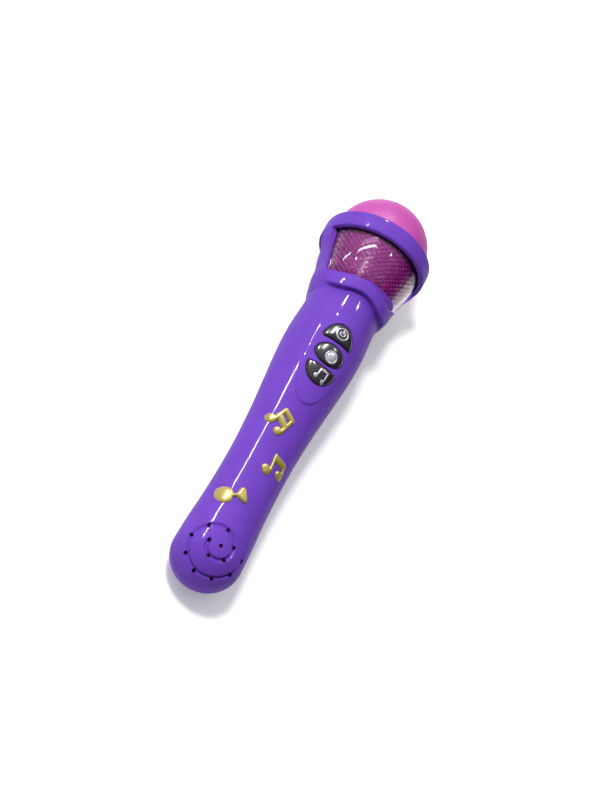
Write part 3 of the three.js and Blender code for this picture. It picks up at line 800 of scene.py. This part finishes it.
def dome():
    """The pink cap and its bumpy skirt, which is the shade behind the clear bowl."""
    middle = TIP - DOME_RADIUS
    turns = np.linspace(0, math.pi / 2, 40)
    inner = DOME_RADIUS - 1.6
    under = [(middle + inner * math.cos(t), inner * math.sin(t)) for t in turns]
    cap = [(middle + DOME_RADIUS * math.cos(t), DOME_RADIUS * math.sin(t)) for t in turns[::-1]]
    lining = resampled(SHADE_INSIDE, 20)
    skirt = resampled(spline(SHADE), (BUMP_ROWS + 2) * LATTICE + 1)
    flange = [(210.5, 26.3), (210.7, 26.5), (212.2, 26.5), (212.4, 26.3), (212.4, DOME_RADIUS)]
    profile = [*under, *lining, *skirt, *flange, *cap]
    columns = BUMPS_AROUND * LATTICE
    angles = np.linspace(0, 2 * math.pi, columns, endpoint=False)
    first = len(under) + len(lining)
    vertices = []
    for i, (x, r) in enumerate(profile):
        row = i - first
        bumpy = LATTICE <= row <= len(skirt) - LATTICE
        bumps = lattice(row, np.arange(columns)) - 0.5 if bumpy else np.zeros(columns)
        reach = r + SHADE_BUMP * bumps
        vertices += hoop(x, reach, angles)
    return mesh_object("dome", vertices, closed_rings(len(profile), columns), smooth_angle=50)


# Raised marks.


def pebble(start, end, half, thick):
    """Vertices and faces of a flattened ball drawn out from one point to another, in the flat."""
    start, end = np.array(start, float), np.array(end, float)
    run = end - start
    along = run / np.linalg.norm(run)
    side = np.array([-along[1], along[0]])
    around, rows = 24, 15
    vertices = []
    for lean in np.linspace(0, math.pi, rows):
        base = start if lean < math.pi / 2 else end
        for turn in np.linspace(0, 2 * math.pi, around, endpoint=False):
            spot = base - half * math.cos(lean) * along + half * math.sin(lean) * math.cos(turn) * side
            vertices.append((*spot, thick * math.sin(lean) * math.sin(turn)))
    return vertices, strip_faces(rows, around, wrap=True)


def pillow(name, bars, thick, voxel, height, low):
    """Rounded bars melted into one soft shape that lies on a surface of a given height."""
    vertices, faces = gathered([pebble(start, end, half, thick) for start, end, half in bars])
    mesh = bpy.data.meshes.new("flat")
    mesh.from_pydata(vertices, [], faces)
    flat = added("flat", mesh)
    melt = flat.modifiers.new("melt", "REMESH")
    melt.mode = "VOXEL"
    melt.voxel_size = voxel
    soften = flat.modifiers.new("soften", "SMOOTH")
    soften.iterations = 6
    applied(flat)
    spots = [(v.co.x, v.co.y, height(v.co.x, v.co.y) + max(v.co.z, low)) for v in flat.data.vertices]
    melted = [tuple(p.vertices) for p in flat.data.polygons]
    bpy.data.objects.remove(flat)
    return mesh_object(name, spots, melted, smooth_angle=70)


def on_handle(x, y):
    """Height over the axis of the bare handle's front."""
    return math.sqrt(float(handle_radius(x)) ** 2 - y**2)


def on_top_of(thing):
    """Height over the axis of an object's front."""
    back = MIC.inverted()
    points = [back @ v.co for v in thing.data.vertices]
    tree = BVHTree.FromPolygons(points, [tuple(p.vertices) for p in thing.data.polygons])

    def height(x, y):
        spot = tree.ray_cast(Vector((x, y, 60)), Vector((0, 0, -1)))[0]
        return spot.z if spot else tree.find_nearest(Vector((x, y, 30)))[0].z

    return height


def arc(sign, first, last, reach, half, count=20):
    """Bars that follow an arc round a sign's middle."""
    turns = np.radians(np.linspace(first, last, count + 1))
    spots = [(sign["x"] + reach * math.cos(t), sign["y"] + reach * math.sin(t)) for t in turns]
    return [(a, b, half) for a, b in zip(spots, spots[1:])]


def key_signs():
    """What each button is marked with: a power sign, a beat sign and a pair of notes."""
    power, mode = POWER_SIGN, MODE_SIGN
    x, y = power["x"], power["y"]
    power_bars = arc(power, 0, 360, power["radius"], 0.42, 32)
    power_bars += arc(power, 50, 310, 1.35, 0.34)
    power_bars.append(((x + 0.3, y), (x + 1.9, y), 0.34))
    x, y = mode["x"], mode["y"]
    mode_bars = [((x - 0.1, y), (x + 0.1, y), 2.35)]
    mode_bars += arc(mode, 0, 360, mode["radius"], 0.4, 32)
    return {"button_power": power_bars, "button_mode": mode_bars, "button_music": MUSIC_SIGN}


# Buttons.


def key_cap(name, key):
    """A smoked cap: domed on top, rounded at its edge, with a flange under the casing."""
    outline = key_outline(key)
    middle = outline.mean(0)
    rings = []
    for share in np.linspace(0, 0.9, 14):
        spot = middle + share * (outline - middle)
        crown = CROWN * math.sqrt(1 - 0.95 * share**2)
        rings.append(np.column_stack([spot, front_height(spot[:, 0], spot[:, 1], crown)]))
    edge_height = front_height(outline[:, 0], outline[:, 1], 0.4 * CROWN)
    for turn in np.linspace(0.25, 1, 5) * math.pi / 2:
        spot = middle + (0.9 + 0.1 * math.sin(turn)) * (outline - middle)
        rings.append(np.column_stack([spot, edge_height - 0.9 * (1 - math.cos(turn))]))
    flange = grown(outline, 0.45)
    centre = middle + 0.01 * (outline - middle)
    rim = [(outline, FLANGE_TOP), (flange, FLANGE_TOP), (flange, FLANGE_LOW), (centre, FLANGE_LOW)]
    for spot, level in rim:
        rings.append(np.column_stack([spot, np.full(len(outline), level)]))
    count = len(outline)
    faces = strip_faces(len(rings), count, wrap=True)
    faces.append(tuple((len(rings) - 1) * count + i for i in range(count)))
    return mesh_object(name + "_cap", np.vstack(rings), faces, smooth_angle=50)


# Materials.


def wired(tree, kind, inputs=None):
    """A shader node, each input given as a value or as the socket that feeds it."""
    made = tree.nodes.new("ShaderNode" + kind)
    for name, value in (inputs or {}).items():
        if isinstance(value, bpy.types.NodeSocket):
            tree.links.new(value, made.inputs[name])
        else:
            made.inputs[name].default_value = value
    return made


def material(name, base, roughness, drift=0.06, grain=0.02, scale=60.0, **inputs):
    """A moulded finish: faint colour drift, fine surface texture and uneven gloss."""
    made = bpy.data.materials.new(name)
    made.use_nodes = True
    tree = made.node_tree
    shader = tree.nodes["Principled BSDF"]
    place = wired(tree, "TexCoord").outputs["Object"]
    cloud = wired(tree, "TexNoise", {"Scale": scale, "Detail": 3.0, "Vector": place}).outputs["Fac"]
    colours = wired(tree, "ValToRGB", {"Fac": cloud})
    for stop, way, position in ((0, 1 - drift, 0.3), (1, 1 + drift, 0.7)):
        colours.color_ramp.elements[stop].color = (*[min(1.0, c * way) for c in base], 1)
        colours.color_ramp.elements[stop].position = position
    gloss = wired(tree, "MapRange", {"Value": cloud, "To Min": roughness * 0.8, "To Max": roughness * 1.25})
    peel = wired(tree, "TexNoise", {"Scale": 700.0, "Vector": place}).outputs["Fac"]
    bump = wired(tree, "Bump", {"Strength": grain, "Distance": 0.001, "Height": peel})
    tree.links.new(colours.outputs["Color"], shader.inputs["Base Color"])
    tree.links.new(gloss.outputs["Result"], shader.inputs["Roughness"])
    tree.links.new(bump.outputs["Normal"], shader.inputs["Normal"])
    for socket, value in inputs.items():
        shader.inputs[socket].default_value = value
    return made


def srgb(red, green, blue):
    """Linear colour from screen values of 0 to 255."""
    values = [c / 255 for c in (red, green, blue)]
    return tuple(c / 12.92 if c <= 0.04045 else ((c + 0.055) / 1.055) ** 2.4 for c in values)


PURPLE = material(
    "violet plastic",
    srgb(98, 57, 165),
    0.45,
    **{"Specular IOR Level": 0.02, "Coat Weight": 0.1, "Coat Roughness": 0.03},
)
PINK = material(
    "pink plastic",
    srgb(169, 61, 147),
    0.45,
    **{"Specular IOR Level": 0.2, "Subsurface Weight": 0.1, "Subsurface Scale": 0.004},
)
# The clear plastic's pink grey tint is partly its own and partly painted shade, darkening the view into the
# head.
CLEAR = material(
    "clear plastic",
    (0.82, 0.64, 0.8),
    0.03,
    drift=0.01,
    grain=0.0,
    **{"Transmission Weight": 1.0, "IOR": 1.38},
)
SMOKE = material(
    "smoked plastic",
    srgb(34, 27, 38),
    0.22,
    grain=0.0,
    **{"Specular IOR Level": 0.3, "Coat Weight": 0.3, "Coat Roughness": 0.08},
)
GOLD = material(
    "gold plastic",
    srgb(143, 126, 46),
    0.38,
    **{"Metallic": 0.2, "Coat Weight": 0.3, "Coat Roughness": 0.1},
)
SILVER = material("silver print", srgb(165, 165, 172), 0.35, **{"Metallic": 0.5})
BLACK = material("black plastic", srgb(28, 28, 30), 0.5)
BOARD = material("green board", srgb(38, 110, 62), 0.45, scale=220.0)
RUBBER = material("grey rubber", srgb(190, 190, 188), 0.8, grain=0.1)
STEEL = material("plated steel", srgb(190, 192, 196), 0.28, grain=0.05, **{"Metallic": 1.0})
LENS = material("clear lens", srgb(225, 225, 232), 0.1)
MAGNET = material("magnet", srgb(52, 52, 56), 0.6, grain=0.1)
PAPER = material("speaker paper", srgb(96, 90, 80), 0.9, grain=0.4)
CELL = material("cell sleeve", srgb(60, 64, 70), 0.35, **{"Metallic": 0.3})
LEAD = material("lead insulation", srgb(150, 30, 30), 0.5)
# The table glows a little: painted light that lifts the shadows on it to a light neutral grey.
FLOOR = material(
    "table",
    (0.84, 0.84, 0.84),
    0.9,
    drift=0.004,
    grain=0.0,
    scale=6.0,
    **{"Specular IOR Level": 0.0, "Emission Color": (1, 1, 1, 1), "Emission Strength": 0.24},
)
SLOT_LOOKS = {
    "purple": PURPLE,
    "pink": PINK,
    "clear": CLEAR,
    "smoke": SMOKE,
    "gold": GOLD,
    "rubber": RUBBER,
    "board": BOARD,
    "lens": LENS,
    "chip": BLACK,
    "steel": STEEL,
    "magnet": MAGNET,
    "paper": PAPER,
    "cell": CELL,
    "lead": LEAD,
}


def paint_skirt_shade(look, border, painted_shade, roughness):
    """Makes whatever lies on the tail's side of a border, in metres along X, glossier, and darker with
    painted shade.
    """
    tree = look.node_tree
    shader = tree.nodes["Principled BSDF"]
    spot = wired(tree, "TexCoord").outputs["Object"]
    along = wired(tree, "SeparateXYZ", {"Vector": spot}).outputs["X"]
    share = wired(tree, "MapRange", {"Value": along, "From Min": border, "From Max": border + 0.001})
    for socket, value in (("Base Color", (*painted_shade, 1)), ("Roughness", (roughness,) * 3 + (1,))):
        mix = wired(tree, "Mix", {"Factor": share.outputs["Result"]})
        mix.data_type = "RGBA"
        mix.inputs["A"].default_value = value
        tree.links.new(shader.inputs[socket].links[0].from_socket, mix.inputs["B"])
        tree.links.new(mix.outputs["Result"], shader.inputs[socket])


def dress(thing, look):
    thing.data.materials.clear()
    thing.data.materials.append(look)


def place(thing, body, look, slot, *replaced):
    """Gives a piece its material, puts it on the body that it rides on and hides the CAD parts that it
    stands for.
    """
    dress(thing, look)
    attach(thing, body)
    if replaced:
        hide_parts(*replaced)


SHADE_START = 0.032  # metres from the pink cap's tip to its skirt, which is the shade
# The skirt's darker colour is painted shade for the dim inside of the ring and the bowl; its higher gloss
# is its own.
paint_skirt_shade(PINK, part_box("dome_cap")[1][0] - SHADE_START, painted_shade=srgb(94, 14, 84), roughness=0.2)

# Pieces.

for part in frame["record"]["subparts"]:
    dress(frame["nodes"][part["node"]], SLOT_LOOKS[part["material_slot"]])

place(front_casing(), "body", PURPLE, "purple", "front_shell")
place(back_casing(), "body", PURPLE, "purple", "back_shell")
place(clear_bowl(), "body", CLEAR, "clear", "clear_globe")
place(dome(), "body", PINK, "pink", "dome_cap")
place(battery_door(), "battery_cover", PURPLE, "purple", "battery_door")
for name, (x, y) in CASE_SCREWS.items():
    place(pan_screw(name + "_steel", x, y, SCREW_HEAD_LOW, 2.1, 12), "body", STEEL, "steel", name)
door_screw = pan_screw("door_screw_steel", DOOR_SCREW_X, 0, -17.9, 2.1, 7)
place(door_screw, "battery_cover", STEEL, "steel", "door_screw")
for name, bars in NOTES.items():
    place(pillow(name + "_relief", bars, 1.3, 0.2, on_handle, 0.03), "body", GOLD, "gold", name)
KEY_BODIES = {"button_power": "power_key", "button_mode": "mode_key", "button_music": "music_key"}
for node, bars in key_signs().items():
    cap = key_cap(node, KEYS[node])
    place(cap, KEY_BODIES[node], SMOKE, "smoke", node)
    sign = pillow(node + "_sign", bars, 0.34, 0.14, on_top_of(cap), -0.06)
    place(sign, KEY_BODIES[node], SILVER, "steel")


# Table, camera and light.


def table():
    """A pale table, far larger than the view."""
    half, count = 1.5, 24
    steps = np.linspace(-half, half, count)
    mesh = bpy.data.meshes.new("table")
    points = [(x, y, 0.0) for x in steps for y in steps]
    mesh.from_pydata(points, [], strip_faces(count, count))
    thing = added("table", mesh)
    dress(thing, FLOOR)


VIEW = {
    "distance": 1.328,
    "towards_tail": 30.2,  # degrees from straight in front of the buttons
    "towards_left": 13.5,
    "axis_on_picture": 60.9,  # degrees from the picture's right
    "lens": 123.4,
    "shift": (-0.0018, -0.006),
}


def camera():
    data = bpy.data.cameras.new("camera")
    data.lens = VIEW["lens"]
    data.shift_x, data.shift_y = VIEW["shift"]
    data.clip_start, data.clip_end = 0.1, 20
    thing = added("camera", data)
    tail, side = math.radians(VIEW["towards_tail"]), math.radians(VIEW["towards_left"])
    turn = MIC.to_3x3().normalized()
    back = turn @ Vector(
        (-math.sin(tail), math.cos(tail) * math.sin(side), math.cos(tail) * math.cos(side))
    )
    axis = turn @ Vector((1, 0, 0))
    along = (axis - axis.dot(back) * back).normalized()
    across = along.cross(back)
    lean = math.radians(VIEW["axis_on_picture"])
    right = across * math.sin(lean) + along * math.cos(lean)
    up = back.cross(right)
    pose = Matrix((right, up, back)).transposed().to_4x4()
    pose.translation = MIC @ Vector((120, 0, 0)) + back * VIEW["distance"]
    thing.matrix_world = pose
    bpy.context.scene.camera = thing


SKY = {"towards": (0.48, 0.58, 0.8), "all round": 0.02, "darkest": 0.02, "seen": 0.9}
KEY_LIGHT = {"towards": (0.12, 0.44, 1.0), "distance": 1200, "side": 0.22, "power": 13.4}
# Lamps that show only as reflections, each where a highlight of the grip or of the head needs it:
# its two ends, the point that it lights, its width in metres and its power.
LAMPS = {
    "grip tube": ((470, 800, 580), (780, 800, 580), (80, 0, 0), 0.05, 20),
    "grip neck tube": ((900, 350, 720), (970, 350, 720), (170, 0, 0), 0.04, 12),
    "grip neck dot": ((926, -293, 755), (936, -293, 755), (167, 0, 0), 0.03, 3),
    "cap sheen": ((600, 420, 800), (820, 420, 800), (135, 0, 0), 0.22, 4.5),
    "bowl tube": ((381, 856, 701), (461, 372, 1028), (195, 0, 0), 0.03, 1.5),
    "bowl glow": ((450, 844, 697), (517, 434, 989), (200, 0, 0), 0.06, 0.3),
    "bowl side": ((356, 1074, 267), (373, 998, 477), (189, 0, 0), 0.02, 0.35),
    "bowl dot": ((479, -289, 1045), (479, -319, 1045), (200, 0, 0), 0.03, 0.15),
    "bowl upper dot": ((323, 812, 746), (323, 842, 746), (190, 0, 0), 0.03, 0.15),
}
SHADE_GLINT = 2.0  # watts of the light that makes the shade's bumps glint


def area_light(name, spot, target, size, power, along=(1, 0, 0)):
    """A rectangular light at a spot in the microphone's frame, in millimetres, facing a target."""
    data = bpy.data.lights.new(name, "AREA")
    data.shape = "RECTANGLE"
    data.size, data.size_y = size
    data.energy = power
    thing = added(name, data)
    turn = MIC.to_3x3().normalized()
    back = (turn @ (Vector(spot) - Vector(target))).normalized()
    side = turn @ Vector(along)
    side = (side - side.dot(back) * back).normalized()
    pose = Matrix((side, back.cross(side), back)).transposed().to_4x4()
    pose.translation = MIC @ Vector(spot)
    thing.matrix_world = pose
    return thing


def sky():
    """A world that is brightest overhead, and brighter on the left and at the head."""
    world = bpy.data.worlds.new("room")
    world.use_nodes = True
    tree = world.node_tree
    lean = wired(tree, "VectorMath", {0: wired(tree, "TexCoord").outputs["Generated"], 1: SKY["towards"]})
    lean.operation = "DOT_PRODUCT"
    strength = wired(tree, "Math", {0: lean.outputs["Value"], 1: SKY["all round"]})
    strength.operation = "ADD"
    lowest = wired(tree, "Math", {0: strength.outputs["Value"], 1: SKY["darkest"]})
    lowest.operation = "MAXIMUM"
    # Seen directly, it is an even pale grey behind the table.
    ray = wired(tree, "LightPath").outputs["Is Camera Ray"]
    seen = wired(tree, "Mix", {"Factor": ray, "A": lowest.outputs["Value"], "B": SKY["seen"]})
    background = tree.nodes["Background"]
    background.inputs["Color"].default_value = (1, 1, 1, 1)
    tree.links.new(seen.outputs["Result"], background.inputs["Strength"])
    bpy.context.scene.world = world


def gather(name, wanted):
    """A collection of the mesh objects that a test picks, for lights that reach only those."""
    group = bpy.data.collections.new(name)
    for thing in bpy.context.scene.objects:
        if thing.type == "MESH" and wanted(thing.name):
            group.objects.link(thing)
    return group


def lights():
    towards = Vector(KEY_LIGHT["towards"]).normalized() * KEY_LIGHT["distance"]
    middle, side = Vector((120, 0, 0)), KEY_LIGHT["side"]
    others = gather("all but the bowl", lambda name: name != "bowl")
    reached = {
        "bowl": gather("bowl only", lambda name: name == "bowl"),
        "cap": gather("caps only", lambda name: name.endswith("_cap") and name.startswith("button")),
        "grip": others,
    }
    key = area_light("soft key", middle + towards, middle, (side, side), KEY_LIGHT["power"])
    key.visible_glossy = False
    glint = area_light("shade glint", middle + towards, middle, (side, side), SHADE_GLINT)
    glint.visible_diffuse = False
    glint.light_linking.receiver_collection = gather("shade only", lambda name: name == "dome")
    for light in (key, glint):
        light.light_linking.blocker_collection = others  # the clear bowl lets them through
    for name, (start, end, target, width, power) in LAMPS.items():
        start, end = Vector(start), Vector(end)
        size = ((end - start).length / 1000, width)
        lamp = area_light(name, (start + end) / 2, target, size, power, end - start)
        lamp.visible_diffuse = False
        lamp.light_linking.receiver_collection = reached[name.split()[0]]
    sky()
    bpy.context.scene.view_settings.view_transform = "Standard"


table()
camera()
lights()
